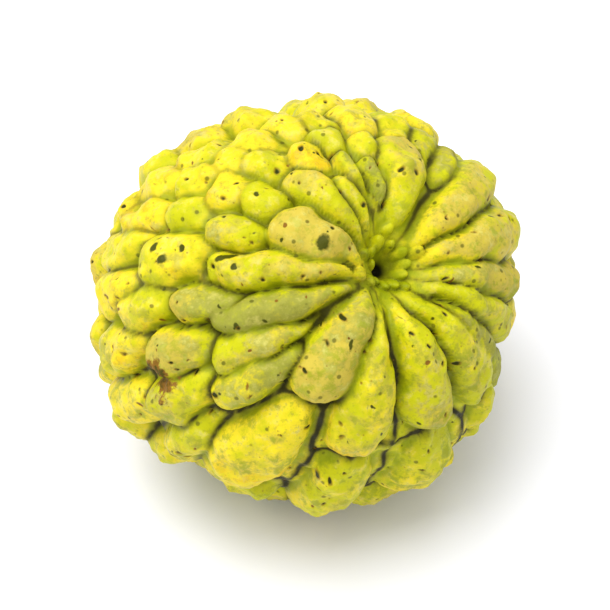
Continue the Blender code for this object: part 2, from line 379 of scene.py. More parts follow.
def wander(points, length, reach, seed):
    """The unit vectors, each moved aside a little by waves of that length."""
    places = points * RADIUS
    aside = np.stack([waves(places, length, seed + k) for k in range(3)], axis=1)
    return unit(points + aside * reach / RADIUS)


print("each pattern is the sum of", WAVES, "waves")

# %% [markdown]
# ## Pits, spots and the scab
#
# The skin is peppered with small dark pits where it was bruised or bitten while it grew. Paint
# alone would leave them flat, so each one is pressed into the mesh as well. The large ones are
# listed one by one and the small ones placed at random. Each row holds the bearing and the polar
# angle, the length and the width in millimetres, the turn of the long side, and the kind.

# %% The large pits and spots
SPOTS = [
    (234, 27, 1.3, 1.0, 0, "pit"),
    (229, 34, 1.3, 0.9, 30, "pit"),
    (221, 30, 2.6, 1.1, 60, "stain"),
    (227, 43, 1.2, 0.8, 0, "pit"),
    (181, 21, 1.1, 0.7, 40, "pit"),
    (171, 24, 1.2, 0.6, 30, "pit"),
    (173, 28, 1.2, 1.2, 0, "rust"),
    (161, 30, 0.9, 0.9, 0, "pit"),
    (187, 17, 1.8, 0.6, 40, "stain"),
    (148, 34, 0.9, 0.7, 0, "pit"),
    (187, 48, 1.6, 0.7, 70, "stain"),
    (186, 59, 1.9, 1.2, 120, "pit"),
    (206, 63, 0.9, 0.7, 0, "pit"),
    (209, 57, 1.1, 0.8, 0, "pit"),
    (236, 68, 2.2, 1.1, 100, "pit"),
    (236, 65, 1.2, 0.8, 90, "stain"),
    (234, 57, 2.2, 0.8, 30, "rust"),
    (252, 52, 1.5, 1.2, 0, "stain"),
    (250, 45, 1.2, 0.9, 0, "stain"),
    (280, 26, 3.8, 3.2, 20, "stain"),
    (281, 18, 1.2, 0.9, 0, "pit"),
    (291, 24, 1.1, 0.8, 0, "pit"),
    (287, 36, 1.3, 1.1, 0, "rust"),
    (275, 52, 4.8, 1.6, 80, "stain"),
    (273, 56, 1.1, 1.0, 0, "pit"),
    (271, 49, 1.4, 1.2, 0, "stain"),
    (281, 73, 2.4, 1.6, 30, "stain"),
    (277, 70, 3.2, 2.1, 60, "stain"),
    (280, 65, 1.7, 1.4, 30, "stain"),
    (284, 73, 2.0, 0.8, 70, "stain"),
    (289, 53, 1.2, 1.0, 0, "stain"),
    (299, 46, 1.4, 1.2, 0, "stain"),
    (313, 45, 1.5, 1.2, 0, "pit"),
    (326, 43, 1.3, 1.0, 0, "pit"),
    (289, 80, 2.2, 0.8, 140, "rust"),
    (272, 95, 2.2, 0.9, 110, "pit"),
    (256, 92, 1.5, 0.9, 110, "pit"),
    (242, 95, 2.4, 0.9, 130, "rust"),
    (241, 108, 1.8, 0.8, 110, "rust"),
    (226, 92, 1.7, 0.9, 120, "pit"),
    (206, 96, 2.8, 1.6, 20, "stain"),
    (193, 73, 1.9, 1.2, 60, "pit"),
    (190, 71, 1.2, 0.8, 60, "pit"),
    (156, 58, 1.1, 0.9, 0, "rust"),
    (161, 67, 1.1, 0.8, 0, "pit"),
    (5, 25, 1.3, 1.0, 0, "pit"),
    (16, 25, 1.5, 1.0, 0, "pit"),
    (20, 30, 1.6, 1.0, 80, "stain"),
    (338, 38, 2.6, 1.0, 50, "pit"),
    (329, 20, 1.8, 1.3, 0, "pit"),
    (66, 13, 1.7, 0.7, 70, "pit"),
    (72, 26, 0.9, 0.7, 0, "pit"),
    (68, 33, 1.3, 0.7, 120, "stain"),
    (107, 17, 1.0, 0.8, 0, "pit"),
]
print(len(SPOTS), "large pits and spots")

# %% The small pits and spots
SMALL_SPOTS = 600
SMALL_KINDS = ["pit", "pit", "stain", "rust"]
SMALL_WIDTHS = (0.45, 0.9)  # millimetres
SMALL_STRETCH = (1.0, 1.7)  # the length over the width
LEAST_HEIGHT, MOST_HEIGHT = -1.0, 0.96  # on the ball of radius 1: anywhere but in the hollow


def random_spots(count):
    """Small pits and spots scattered over the whole skin."""
    rng = np.random.default_rng(SEED + 2)
    rows = []
    for _ in range(count):
        polar = math.degrees(math.acos(rng.uniform(LEAST_HEIGHT, MOST_HEIGHT)))
        width = rng.uniform(*SMALL_WIDTHS)
        kind = rng.choice(SMALL_KINDS)
        bearing = rng.uniform(0, 360)
        length = width * rng.uniform(*SMALL_STRETCH)
        rows.append((bearing, polar, length, width, rng.uniform(0, 180), kind))
    return rows


spots = SPOTS + random_spots(SMALL_SPOTS)
print(len(spots), "pits and spots")

# %% The mark of a spot
KINDS = {"pit": 0, "stain": 1, "rust": 2}
PIT_DEPTHS = np.array([0.55, 0.12, 0.3]) * MM
SPOT_WANDER = (1.3 * MM, 0.1 * MM)  # makes their outlines ragged
SPOT_STRENGTHS = (0.55, 1.0)
SPOT_EDGE = 1.2  # above 1, a spot is flat inside and its edge is sharp
SPOT_REACH = 1.6  # how far from its middle a spot can show, as a share of its length


def spot_marks(points):
    """How much of a pit, a stain or a rust spot each point has, and how deep it is pressed in."""
    marks = np.zeros((len(points), 3))
    points = wander(points, *SPOT_WANDER, SEED + 40)
    rng = np.random.default_rng(SEED + 4)
    for bearing, polar, length, width, turn, kind in spots:
        middle = direction(bearing, polar)
        near = np.flatnonzero(points @ middle > math.cos(SPOT_REACH * length * MM / RADIUS))
        east = unit(np.cross(middle, direction(0, 0)))
        north = np.cross(east, middle)
        c, s = math.cos(math.radians(turn)), math.sin(math.radians(turn))
        x = points[near] @ (east * c + north * s) * RADIUS / (0.5 * length * MM)
        y = points[near] @ (north * c - east * s) * RADIUS / (0.5 * width * MM)
        mark = rng.uniform(*SPOT_STRENGTHS) * np.exp(-((x * x + y * y) ** SPOT_EDGE))
        marks[near, KINDS[kind]] = np.maximum(marks[near, KINDS[kind]], mark)
    return marks, marks @ PIT_DEPTHS


print("the deepest pits are", round(PIT_DEPTHS.max() / MM, 2), "mm deep")

# %% [markdown]
# ## The grains in the hollow
#
# At the bottom of the hollow sit a few grains, the stunted carpels round the scar of the stem.
# Separate balls would leave seams, so they are domes on the same skin. They are listed one by one,
# because at this size a pattern shows.

# %% The grains in the hollow
LOBE_RISE = 4.8 * MM  # from the bottom of the creases to the round form
DEEPEST = 0.5 * LOBE_RISE  # how far a crease may fall below its usual depth
GRAIN_RISE = 1.9 * MM  # of a grain one millimetre in radius
GRAIN_FULLNESS = 0.5  # makes each dome half a ball
GRAINS = [  # bearing, polar angle, radius in millimetres
    (15, 7.8, 0.9),
    (50, 7.4, 1.1),
    (83, 7.0, 1.0),
    (114, 6.0, 1.1),
    (140, 9.2, 0.8),
    (164, 6.2, 1.1),
    (198, 6.8, 1.0),
    (228, 7.4, 0.8),
    (240, 10.4, 1.1),
    (257, 14.0, 1.3),
    (280, 5.8, 1.0),
    (290, 10.6, 1.0),
    (309, 8.0, 1.0),
    (334, 8.8, 1.3),
    (0, 12.0, 0.9),
    (68, 11.4, 1.0),
]


def grain_heights(points):
    """How high the grains are at each point."""
    bottom = RADIUS - STEM_FLATTENING - DIMPLE_DEPTH - LOBE_RISE
    heights = np.full(len(points), -DEEPEST)
    for bearing, polar, radius in GRAINS:
        distance = np.radians(angle_from(points, bearing, polar)) * bottom / (radius * MM)
        dome = np.clip(1.0 - distance**2, 0.0, None) ** GRAIN_FULLNESS
        heights = np.maximum(heights, GRAIN_RISE * dome * radius)
    return heights


print(len(GRAINS), "grains")

# %% [markdown]
# ## The whole surface
#
# The skin at any point is as high as the highest lobe there. A plain maximum would leave a knife
# edge at the bottom of each crease, so the heights are blended over a quarter of a millimetre, and
# over a little more on the side where the lobes are low and run together.

# %% The soft side
SOFT_SIDE = (314, 68)  # where the lobes are low and run together
SOFT_SIDE_SPREAD = 44.0
CREASE_ROUNDING = 0.25 * MM
SOFT_ROUNDING = 0.32 * MM


def crease_rounding(points):
    """Over what height the lobes are blended at each point."""
    softness = bell(angle_from(points, *SOFT_SIDE), SOFT_SIDE_SPREAD)
    return (CREASE_ROUNDING + (SOFT_ROUNDING - CREASE_ROUNDING) * softness)[:, None]


print("creases are rounded over", CREASE_ROUNDING / MM, "to", SOFT_ROUNDING / MM, "mm")

# %% The whole surface
WANDER_LENGTH = 9.0 * MM
WANDER_REACH = 0.45 * MM
HOLLOW_SPREAD = 9.0  # how far round the stem only the grains rise from the hollow's bottom
SCAR_DEPTH = 3.4 * MM
SCAR_SPREAD = 4.6
LEAST_POWER = -40.0  # a lobe that is further down than this adds nothing


def survey(points):
    """The skin's radius along each unit vector, and what the paint needs to know there."""
    heights, u = lobes.heights(wander(points, WANDER_LENGTH, WANDER_REACH, SEED + 10))
    best = heights.argmax(axis=1)
    rows = np.arange(len(points))
    top = heights[rows, best]
    rounding = crease_rounding(points)
    blend = np.exp(np.maximum((heights - top[:, None]) / rounding, LEAST_POWER))
    total = blend.sum(axis=1)
    weights = blend / total[:, None]
    lowest = -DEEPEST * (1.0 - stem_bell(points, HOLLOW_SPREAD))
    skin = np.maximum(top + rounding[:, 0] * np.log(total), lowest)
    skin = np.maximum(skin, grain_heights(points))
    nose = np.clip(0.5 + 0.5 * u[rows, best], 0.0, 1.0)
    root_tone, nose_tone = weights @ lobes.root_tone, weights @ lobes.nose_tone
    tone = root_tone * (1.0 - nose)[:, None] + nose_tone * nose[:, None]
    scar = SCAR_DEPTH * stem_bell(points, SCAR_SPREAD)
    second = np.partition(heights, -2, axis=1)[:, -2]
    return form_radius(points) - LOBE_RISE + skin - scar, skin, top - second, nose, tone


def survey_all(points, chunk=20000):
    """survey() in chunks, to spare the memory."""
    parts = [survey(points[k:k + chunk]) for k in range(0, len(points), chunk)]
    return [np.concatenate(column) for column in zip(*parts)]


petal_radius = survey_all(direction(np.array([216.0]), np.array([45.0])))[0][0]
print("the front petal's radius is", round(petal_radius / MM, 1), "mm")

# %% [markdown]
# ## From a cube to the skin
#
# A cube cut into small squares and blown up to a ball has even faces and no poles. After it has
# been raised to the skin's height, its steep crease walls are stretched. So we let each vertex
# drift towards the middle of its neighbours and raise it again, a few times.

# %% Make the ball
CUTS = 100


def cube_ball():
    """A ball of radius 1 with even faces."""
    bm = bmesh.new()
    bmesh.ops.create_cube(bm, size=2.0)
    bmesh.ops.subdivide_edges(bm, edges=bm.edges[:], cuts=CUTS, use_grid_fill=True)
    corners = np.array([v.co for v in bm.verts])
    return bm, unit(np.tan(corners * math.pi / 4.0))


ball, points = cube_ball()
print(len(points), "vertices on the plain ball")

# %% Even the faces out
EVENING_ROUNDS = 4
DRIFT = 0.6  # how far a vertex goes towards the middle of its neighbours


def edge_pairs(bm):
    """The numbers of the two vertices of each edge."""
    bm.verts.index_update()
    return np.array([[v.index for v in edge.verts] for edge in bm.edges])


def neighbour_mean(values, edges):
    """The mean of one number over each vertex's neighbours."""
    near, far = edges[:, 0], edges[:, 1]
    count = len(values)
    total = np.bincount(near, values[far], count) + np.bincount(far, values[near], count)
    return total / np.bincount(edges.ravel(), minlength=count)


def evened(points, edges):
    """The unit vectors after each has drifted towards its neighbours on the raised skin."""
    for _ in range(EVENING_ROUNDS):
        places = points * survey_all(points)[0][:, None]
        means = np.stack([neighbour_mean(column, edges) for column in places.T], axis=1)
        points = unit((1.0 - DRIFT) * places + DRIFT * means)
    return points


points = evened(points, edge_pairs(ball))
print("evened out in", EVENING_ROUNDS, "rounds")

# %% [markdown]
# ## Finer faces where they count
#
# The faces are two thirds of a millimetre across, too coarse for a pit or a grain. Finer faces
# everywhere would make the mesh four times as heavy. So only the faces round the spots and in the
# hollow are cut in four, and those of the larger spots twice.

# %% Finer faces round the spots
FINER = 1.3  # how far round a spot the faces are cut, as a share of its radius
RIM = 0.5  # and how many millimetres more
SECOND_RIM = 0.4 * MM  # how much closer in the second cut stays
LARGE_SPOT = 0.95  # spots longer than that many millimetres are cut twice
HOLLOW_REACH = 9.0 * MM


def cut_finer(bm, points, middles, reaches):
    """Cuts the faces round some places in four, and returns all the unit vectors."""
    near = np.zeros(len(points), dtype=bool)
    for middle, reach in zip(middles, reaches):
        near |= points @ middle > math.cos(reach / RADIUS)
    for vert, point in zip(bm.verts, points):
        vert.co = point
    chosen = [edge for edge in bm.edges if all(near[vert.index] for vert in edge.verts)]
    bmesh.ops.subdivide_edges(bm, edges=chosen, cuts=1, use_grid_fill=True)
    bm.verts.index_update()
    return unit(np.array([v.co for v in bm.verts]))


spot_middles = [direction(row[0], row[1]) for row in spots]
reaches = [(FINER * 0.5 * row[2] + RIM) * MM for row in spots]
points = cut_finer(ball, points, spot_middles + [direction(0, 0)], reaches + [HOLLOW_REACH])
large = [k for k, row in enumerate(spots) if row[2] > LARGE_SPOT]
large_reaches = [reaches[k] - SECOND_RIM for k in large]
points = cut_finer(ball, points, [spot_middles[k] for k in large], large_reaches)
print(len(points), "vertices and", len(ball.faces), "faces")

# %% [markdown]
# ## Lumps, folds and a scab
#
# Each lobe is a little lumpy, with a few soft folds, and on the left a brown scab has healed over
# a wound. A displacement modifier could raise them, but plain numbers can also be kept away from
# the hollow, where the skin is too crowded for lumps.

# %% Lumps, folds and a scab
LUMPS = [(6.0 * MM, 0.36 * MM), (2.6 * MM, 0.16 * MM)]  # how long and how high
FOLD_LENGTH = 12.0 * MM
FOLD_RISE = 0.65 * MM
SCAB = (247, 81)
SCAB_SPREAD = 5.6
SCAB_WANDER = (2.0 * MM, 0.9 * MM)
CRUST_RISE, CRUST_ROUGHNESS = 0.35, 0.3  # millimetres
CRUST_LENGTH = 1.6 * MM
CALM_SPREAD = 12.0  # how far round the stem there are no lumps

lumps = sum(
    reach * waves(points * RADIUS, length, SEED + 20 + k)
    for k, (length, reach) in enumerate(LUMPS)
)
folds = FOLD_RISE * (0.5 - np.abs(waves(points * RADIUS, FOLD_LENGTH, SEED + 25)))
away_from_stem = 1.0 - stem_bell(points, CALM_SPREAD)
scab = bell(angle_from(wander(points, *SCAB_WANDER, SEED + 30), *SCAB), SCAB_SPREAD)
crust = CRUST_RISE + CRUST_ROUGHNESS * waves(points * RADIUS, CRUST_LENGTH, SEED + 31)
print("the lumps are up to", round(float(lumps.max()) / MM, 2), "mm high")

# %% Raise the skin
radius, skin, lead, nose, tone = survey_all(points)
marks, pressed = spot_marks(points)
radius = radius + (lumps + folds) * away_from_stem - pressed + scab * crust * MM
print("the radius runs from", round(radius.min() / MM, 1), "to", round(radius.max() / MM, 1), "mm")

# %% [markdown]
# ## How it lies
#
# The fruit lies on a few of its lobes, which its weight presses flat. The object could be turned,
# but it is kept unturned at the origin, so we turn the vertices: about the fruit's own
# axis, over to its side, and to its heading. Then they go where the imported solid is. On the way
# the tops of the lobes are leant over a little, away from the stem, as the real ones are.

# %% Lay the fruit down
ROLL = 49.9
LEAN = 40.4
HEADING = -34.7
FLAT_DEPTH = 1.6 * MM
OVERHANG = 0.22  # how far the tops of the lobes lean over, as a share of their height
NUDGE = 1e-9  # keeps the stem end from dividing by zero

turn = (
    Matrix.Rotation(math.radians(HEADING), 3, "Z")
    @ Matrix.Rotation(math.radians(LEAN), 3, "Y")
    @ Matrix.Rotation(math.radians(ROLL), 3, "Z")
)
outward = unit(points * points[:, 2:] - direction(0, 0) + NUDGE)  # over the skin, from the stem
from_axis = np.sin(np.arccos(np.clip(points[:, 2], -1.0, 1.0)))
lean_over = OVERHANG * np.clip(skin, 0.0, None) * from_axis
places = (points * radius[:, None] + outward * lean_over[:, None]) @ np.array(turn).T
low, high = places.min(axis=0), places.max(axis=0)
middle = (solid_low + solid_high) / 2.0
shift = np.array([middle.x, middle.y, 0.0]) - (low + high) / 2.0
shift[2] = solid_low.z - FLAT_DEPTH - low[2]
places = places + shift
places[:, 2] = np.maximum(places[:, 2], solid_low.z)
print("the skin is", np.round(np.ptp(places, axis=0) / MM, 1), "mm")

# %% Make the skin's mesh
for vert, place in zip(ball.verts, places):
    vert.co = place
mesh = bpy.data.meshes.new("skin")
ball.to_mesh(mesh)
mesh.shade_smooth()
mesh.calc_loop_triangles()
fruit_skin = bpy.data.objects.new("custard_apple_skin", mesh)
bpy.context.scene.collection.objects.link(fruit_skin)
print(len(mesh.loop_triangles), "triangles")

# %% [markdown]
# ## What the paint needs to know
#
# The nodes can't tell a crease from a crown, so we write it down for them, vertex by vertex: how
# yellow, tan and olive the lobe is there, how near a crease is, how deep it is, and where the
# pits are. An image could hold the same, but it would need an unwrapped skin, and seams would
# show. The fine pattern stays with the nodes.

# %% Find the creases
LEAST_SLOPE = 0.25


def between(values, low, high):
    """0 below low, 1 above high, and smooth between."""
    t = np.clip((values - low) / (high - low), 0.0, 1.0)
    return t * t * (3.0 - 2.0 * t)


def blurred(values, edges, rounds):
    """One number for each vertex, mixed with its neighbours' a few times."""
    for _ in range(rounds):
        values = 0.5 * values + 0.5 * neighbour_mean(values, edges)
    return values


def crease_distance(edges):
    """How far each vertex is from the line where two lobes meet, over the skin."""
    a, b = edges.T
    slope = np.abs(lead[a] - lead[b]) / np.linalg.norm(places[a] - places[b], axis=1)
    total = np.bincount(a, slope, len(lead)) + np.bincount(b, slope, len(lead))
    slope = blurred(total / np.bincount(edges.ravel(), minlength=len(lead)), edges, 2)
    return lead / np.maximum(slope, LEAST_SLOPE)


edges = edge_pairs(ball)
from_crease = crease_distance(edges)
near_share = float((from_crease < 0.5 * MM).mean())
print("share of the skin within half a millimetre of a crease:", round(near_share, 3))

# %% The painted shade: dark lines in the creases and shaded flanks
CREASE_WIDTH = 0.82 * MM
FLANK_WIDTH = 2.0 * MM
CREASE_DEPTHS = (0.1, 0.8)  # where the dark line starts and is full, as shares of the lobes' rise
FLANK_DEPTHS = (0.0, 0.7)
OPEN_SPREAD = 16.0  # how far round the stem the creases are left to the grains

depth = np.clip(1.0 - skin / LOBE_RISE, 0.0, 1.0)
open_skin = 1.0 - stem_bell(points, OPEN_SPREAD)
# painted shade: a dark line along the bottom of each crease, and a broader shade on the walls beside
# it
crease = bell(from_crease, CREASE_WIDTH) * between(depth, *CREASE_DEPTHS) * open_skin
flank_shade = bell(from_crease, FLANK_WIDTH) * between(depth, *FLANK_DEPTHS) * open_skin
print("share of the skin on a flank:", round(float((flank_shade > 0.5).mean()), 3))

# %% The valleys, and the painted shade in the gaps between the grains
VALLEY_ROUNDS = 30  # rounds of blurring that find the broad valleys
VALLEY_DEPTHS = (-0.5 * MM, 1.0 * MM)
GAP_ROUNDS = 8
GAP_DEPTHS = (-0.05 * MM, 0.22 * MM)
GAP_SPREAD = 12.0
BARE_HEIGHTS = (-0.3 * MM, 0.6 * MM)  # below the first, the floor shows; above the second, a grain
BARE_STRENGTH = 0.85


def valleys(rounds, depths):
    """1 where the skin is lower than the skin around it."""
    return between(blurred(smooth_radius, edges, rounds) - smooth_radius, *depths)


smooth_radius = radius + pressed  # the pits aren't valleys
valley = valleys(VALLEY_ROUNDS, VALLEY_DEPTHS)
# painted shade in the gaps between the grains and on the bare floor of the hollow, added to the
# shade on the crease walls
grain_gap_shade = valleys(GAP_ROUNDS, GAP_DEPTHS) * stem_bell(points, GAP_SPREAD)
grain_cover = between(grain_heights(points), *BARE_HEIGHTS)
bare_floor_shade = stem_bell(points, HOLLOW_SPREAD) * (1.0 - grain_cover)
flank_shade = np.maximum(flank_shade, np.maximum(grain_gap_shade, BARE_STRENGTH * bare_floor_shade))
print("share of the skin in a valley:", round(float((valley > 0.5).mean()), 3))

# %% Write the attributes
SOFT_PAINT_SPREAD = 56.0  # the creases of the soft side are pale further out
GREEN_SPREAD = 15.0  # of the green round the stem
TALLEST = 1.2


def write(name, values):
    """Stores one number for each vertex."""
    layer = mesh.attributes.new(name, "FLOAT", "POINT")
    layer.data.foreach_set("value", np.ascontiguousarray(values, dtype=np.float32))


for name, values in zip(("yellow", "tan", "olive"), tone.T):
    write(name, values)
for name, values in zip(("pit", "stain", "rust"), marks.T):
    write(name, values)
# the masks of the painted shade in the creases and on their walls
write("crease", blurred(crease, edges, 1))
write("flank_shade", blurred(flank_shade, edges, 2))
write("soft", bell(angle_from(points, *SOFT_SIDE), SOFT_PAINT_SPREAD))
write("valley", valley)
write("hollow", stem_bell(points, GREEN_SPREAD))
write("nose", nose)
write("crown", np.clip(skin / LOBE_RISE, 0.0, TALLEST))
write("scab", scab)
write("scar", stem_bell(points, SCAR_SPREAD))
print(len(mesh.attributes), "attributes")

# %% [markdown]
# ## The skin's finish
#
# The skin is matte and a little waxy. It is lime where it is young, yellow where it ripens, tan
# where it rubbed and dried, and a deeper green down in the creases, which painted shade darkens
# further. A painted image would blur close up. So we mix the colours from the attributes, and
# roughen every border with noise so that no two patches share an outline.

# %% Helpers that make nodes
finish = bpy.data.materials.new("custard_apple_skin")
finish.use_nodes = True
tree = finish.node_tree
shader = tree.nodes["Principled BSDF"]
coordinates = tree.nodes.new("ShaderNodeTexCoord")


def join(source, socket):
    """Links a socket, or sets a plain number or colour."""
    if isinstance(source, bpy.types.NodeSocket):
        tree.links.new(source, socket)
    else:
        socket.default_value = source


def attribute(name):
    """One of the numbers written down for each vertex."""
    node = tree.nodes.new("ShaderNodeAttribute")
    node.attribute_name = name
    return node.outputs["Fac"]


def math_node(operation, a, b):
    """The sum, the product or the like of two sockets or plain numbers."""
    node = tree.nodes.new("ShaderNodeMath")
    node.operation = operation
    join(a, node.inputs[0])
    join(b, node.inputs[1])
    return node.outputs[0]


def noise(size, detail=3.0, roughness=0.55):
    """Noise whose blotches are about that many metres across."""
    node = tree.nodes.new("ShaderNodeTexNoise")
    tree.links.new(coordinates.outputs["Object"], node.inputs["Vector"])
    node.inputs["Scale"].default_value = 1.0 / size
    node.inputs["Detail"].default_value = detail
    node.inputs["Roughness"].default_value = roughness
    return node.outputs["Fac"]


print("the finish is called", finish.name)

# %% Helpers that shape and lay the paint
def times(value, amount):
    """One socket or number times another."""
    return math_node("MULTIPLY", value, amount)


def ramp(value, low, high):
    """0 below low, 1 above high, and smooth between."""
    node = tree.nodes.new("ShaderNodeMapRange")
    node.interpolation_type = "SMOOTHSTEP"
    join(value, node.inputs["Value"])
    node.inputs["From Min"].default_value = low
    node.inputs["From Max"].default_value = high
    return node.outputs["Result"]


def ragged(value, *patterns):
    """A value whose borders wander with some noise patterns, each by its own amount."""
    for pattern, amount in patterns:
        value = math_node("ADD", value, times(math_node("SUBTRACT", pattern, 0.5), amount))
    return value


def paint(under, over, amount):
    """One colour over another."""
    node = tree.nodes.new("ShaderNodeMix")
    node.data_type = "RGBA"
    join(amount, node.inputs["Factor"])
    join(under, node.inputs["A"])
    join(over, node.inputs["B"])
    return node.outputs["Result"]


def coat(under, over, value, low, high, strength=1.0):
    """One colour over another where a value has risen from low to high."""
    return paint(under, over, times(ramp(value, low, high), strength))


print(len(tree.nodes), "nodes so far")

# %% Colours
LIME = (0.50, 0.50, 0.003, 1.0)
YELLOW = (0.74, 0.60, 0.016, 1.0)
PALE = (0.76, 0.68, 0.17, 1.0)
TAN = (0.52, 0.41, 0.055, 1.0)
GREY_GREEN = (0.28, 0.29, 0.04, 1.0)
OLIVE = (0.20, 0.20, 0.020, 1.0)
DEEP_GREEN = (0.26, 0.31, 0.001, 1.0)
ORANGE = (0.68, 0.43, 0.008, 1.0)
# painted shade: the dark green of the crease walls and the near black of the crease bottoms
FLANK_SHADE = (0.15, 0.15, 0.003, 1.0)
CREVICE_SHADE = (0.008, 0.008, 0.0005, 1.0)
# brown: the scab, and the edge of the painted shade in the creases
BROWN = (0.07, 0.055, 0.002, 1.0)
PIT = (0.030, 0.036, 0.002, 1.0)
STAIN = (0.06, 0.065, 0.002, 1.0)
RUST = (0.22, 0.105, 0.01, 1.0)
print("14 colours, as red, green and blue shares of the light that comes back")

# %% Noise patterns
blotches = noise(9.0 * MM)
islands = noise(4.2 * MM, 4.0, 0.6)
patches = noise(3.0 * MM, 4.0)
speckle = noise(1.7 * MM, 4.0, 0.7)
freckles = noise(1.3 * MM, 4.0, 0.7)
mottle = noise(0.9 * MM, 4.0, 0.65)
grain = noise(0.28 * MM, 2.0)
print("seven sizes of noise, from 9 mm to 0.28 mm")

# %% Ripe yellow and orange over lime
crown = ramp(attribute("crown"), 0.35, 0.95)  # 1 on the tops of the lobes
ripe = math_node("ADD", attribute("yellow"), times(attribute("soft"), 0.15))
ripe = ragged(ripe, (blotches, 2.2), (patches, 2.2))
colour = coat(LIME, YELLOW, ripe, 0.1, 0.9)
orange = math_node("ADD", times(attribute("nose"), 0.25), times(attribute("yellow"), 0.35))
orange = ragged(orange, (blotches, 2.0), (speckle, 1.6))
colour = coat(colour, ORANGE, orange, 0.45, 0.85, 0.8)
print(len(tree.nodes), "nodes so far")

# %% Tan and olive where the tops rubbed and dried
tan = times(attribute("tan"), math_node("ADD", times(crown, 0.75), 0.4))
tan = ragged(tan, (blotches, 0.8), (patches, 1.8), (mottle, 0.9))
colour = coat(colour, TAN, tan, 0.35, 0.95, 0.9)
worn = ragged(times(crown, 0.5), (islands, 1.8), (speckle, 1.0))
colour = coat(colour, TAN, worn, 0.38, 0.75, 0.75)
olive = times(attribute("olive"), math_node("ADD", times(crown, 0.4), 0.7))
olive = ragged(olive, (patches, 2.0), (mottle, 0.9))
colour = coat(colour, GREY_GREEN, olive, 0.2, 0.8, 0.9)
colour = coat(colour, OLIVE, olive, 0.7, 1.4, 0.6)
print(len(tree.nodes), "nodes so far")

# %% Pale flecks, freckles and green islands
firm = math_node("SUBTRACT", 1.0, times(attribute("soft"), 0.85))  # low on the soft side
pale = ragged(patches, (speckle, 0.8), (mottle, 0.5))
colour = coat(colour, PALE, pale, 0.5, 0.8, 0.5)
colour = coat(colour, OLIVE, ragged(freckles, (mottle, 0.8)), 0.53, 0.8, 0.55)
green_islands = times(ramp(ragged(islands, (speckle, 1.0)), 0.5, 0.72), 0.75)
colour = paint(colour, DEEP_GREEN, times(green_islands, firm))
print(len(tree.nodes), "nodes so far")

# %% Green and painted shade in the valleys and round the stem
# a deep green in the broad valleys, partly the skin's own green and partly painted shade
valley_shade = ragged(attribute("valley"), (patches, 0.9))
colour = coat(colour, DEEP_GREEN, valley_shade, 0.35, 0.95, 0.8)
lime_hollow = ragged(attribute("hollow"), (patches, 0.8))
colour = coat(colour, LIME, lime_hollow, 0.35, 0.8, 0.8)
# a deep green in the hollow round the stem, partly the skin's own green and partly painted shade
hollow_green_shade = ragged(attribute("hollow"), (islands, 2.0))
colour = coat(colour, DEEP_GREEN, hollow_green_shade, 0.4, 0.9, 0.85)
print(len(tree.nodes), "nodes so far")

# %% [markdown]
# ## Specks
#
# Between the pits the skin has hundreds of specks that are too small to press into the mesh. They
# come from a Voronoi pattern: the distance to the nearest of many scattered points, cut off close
# to the point. The colour of its cell picks which points get a speck.

# %% Specks
def specks(spacing, size, share):
    """Small round dots, that many metres apart and across, on a share of the points."""
    node = tree.nodes.new("ShaderNodeTexVoronoi")
    tree.links.new(coordinates.outputs["Object"], node.inputs["Vector"])
    node.inputs["Scale"].default_value = 1.0 / spacing
    dots = ramp(node.outputs["Distance"], 0.5 * size / spacing, 0.25 * size / spacing)
    pick = tree.nodes.new("ShaderNodeSeparateColor")
    tree.links.new(node.outputs["Color"], pick.inputs["Color"])
    return times(dots, math_node("LESS_THAN", pick.outputs["Red"], share))


colour = paint(colour, STAIN, times(specks(2.6 * MM, 1.15 * MM, 0.4), 0.7))
colour = paint(colour, RUST, times(specks(1.7 * MM, 0.5 * MM, 0.35), 0.55))
print(len(tree.nodes), "nodes so far")

# %% [markdown]
# ## Painted shade in the creases, then pits and the scab
#
# The bottom of each crease gets painted shade: a dark line with a soft brown edge, and the walls
# beside it a darker, duller green, partly the skin's own and partly painted shade. These coats lie
# over the others, and they fade out on the soft side. The pits, the stains and the scab come last.

# %% Painted shade in the creases
# painted shade on the walls beside the creases, in a dark green that is partly the skin's own colour
# there
flank_paint = ragged(attribute("flank_shade"), (speckle, 0.4), (mottle, 0.2))
colour = paint(colour, FLANK_SHADE, times(times(ramp(flank_paint, 0.05, 0.85), 0.85), firm))
# painted shade at the bottom of each crease: a brown edge and a near-black line, weaker on the soft
# side
line = ragged(attribute("crease"), (speckle, 0.25))
colour = paint(colour, BROWN, times(times(ramp(line, 0.08, 0.5), 0.75), firm))
colour = paint(colour, CREVICE_SHADE, times(times(ramp(line, 0.22, 0.65), 0.9), firm))
# painted shade: near black down in the hole of the stem scar
colour = coat(colour, CREVICE_SHADE, attribute("scar"), 0.45, 0.8)
print(len(tree.nodes), "nodes so far")

# %% Pits, stains and the scab
colour = coat(colour, RUST, ragged(attribute("rust"), (mottle, 0.5)), 0.35, 0.7)
colour = coat(colour, STAIN, ragged(attribute("stain"), (mottle, 0.5)), 0.3, 0.65)
colour = coat(colour, RUST, attribute("pit"), 0.12, 0.4, 0.6)
colour = coat(colour, PIT, attribute("pit"), 0.35, 0.7)
scab_rust = ragged(attribute("scab"), (patches, 0.7), (mottle, 0.8))
colour = coat(colour, RUST, scab_rust, 0.38, 0.6)
scab_brown = ragged(attribute("scab"), (speckle, 1.6), (mottle, 1.0))
colour = coat(colour, BROWN, scab_brown, 0.7, 1.0)
join(colour, shader.inputs["Base Color"])
print(len(tree.nodes), "nodes for the colour")

# %% [markdown]
# ## Gloss and fine relief
#
# The rind is dull, and a little duller where it is tan. Its pores are too fine for the mesh, so
# the same noise patterns also feed a Bump node, which only tilts the light.

# %% Gloss
SMOOTHEST = 0.46
TAN_ROUGHNESS = 0.16
GLOSS = 0.14

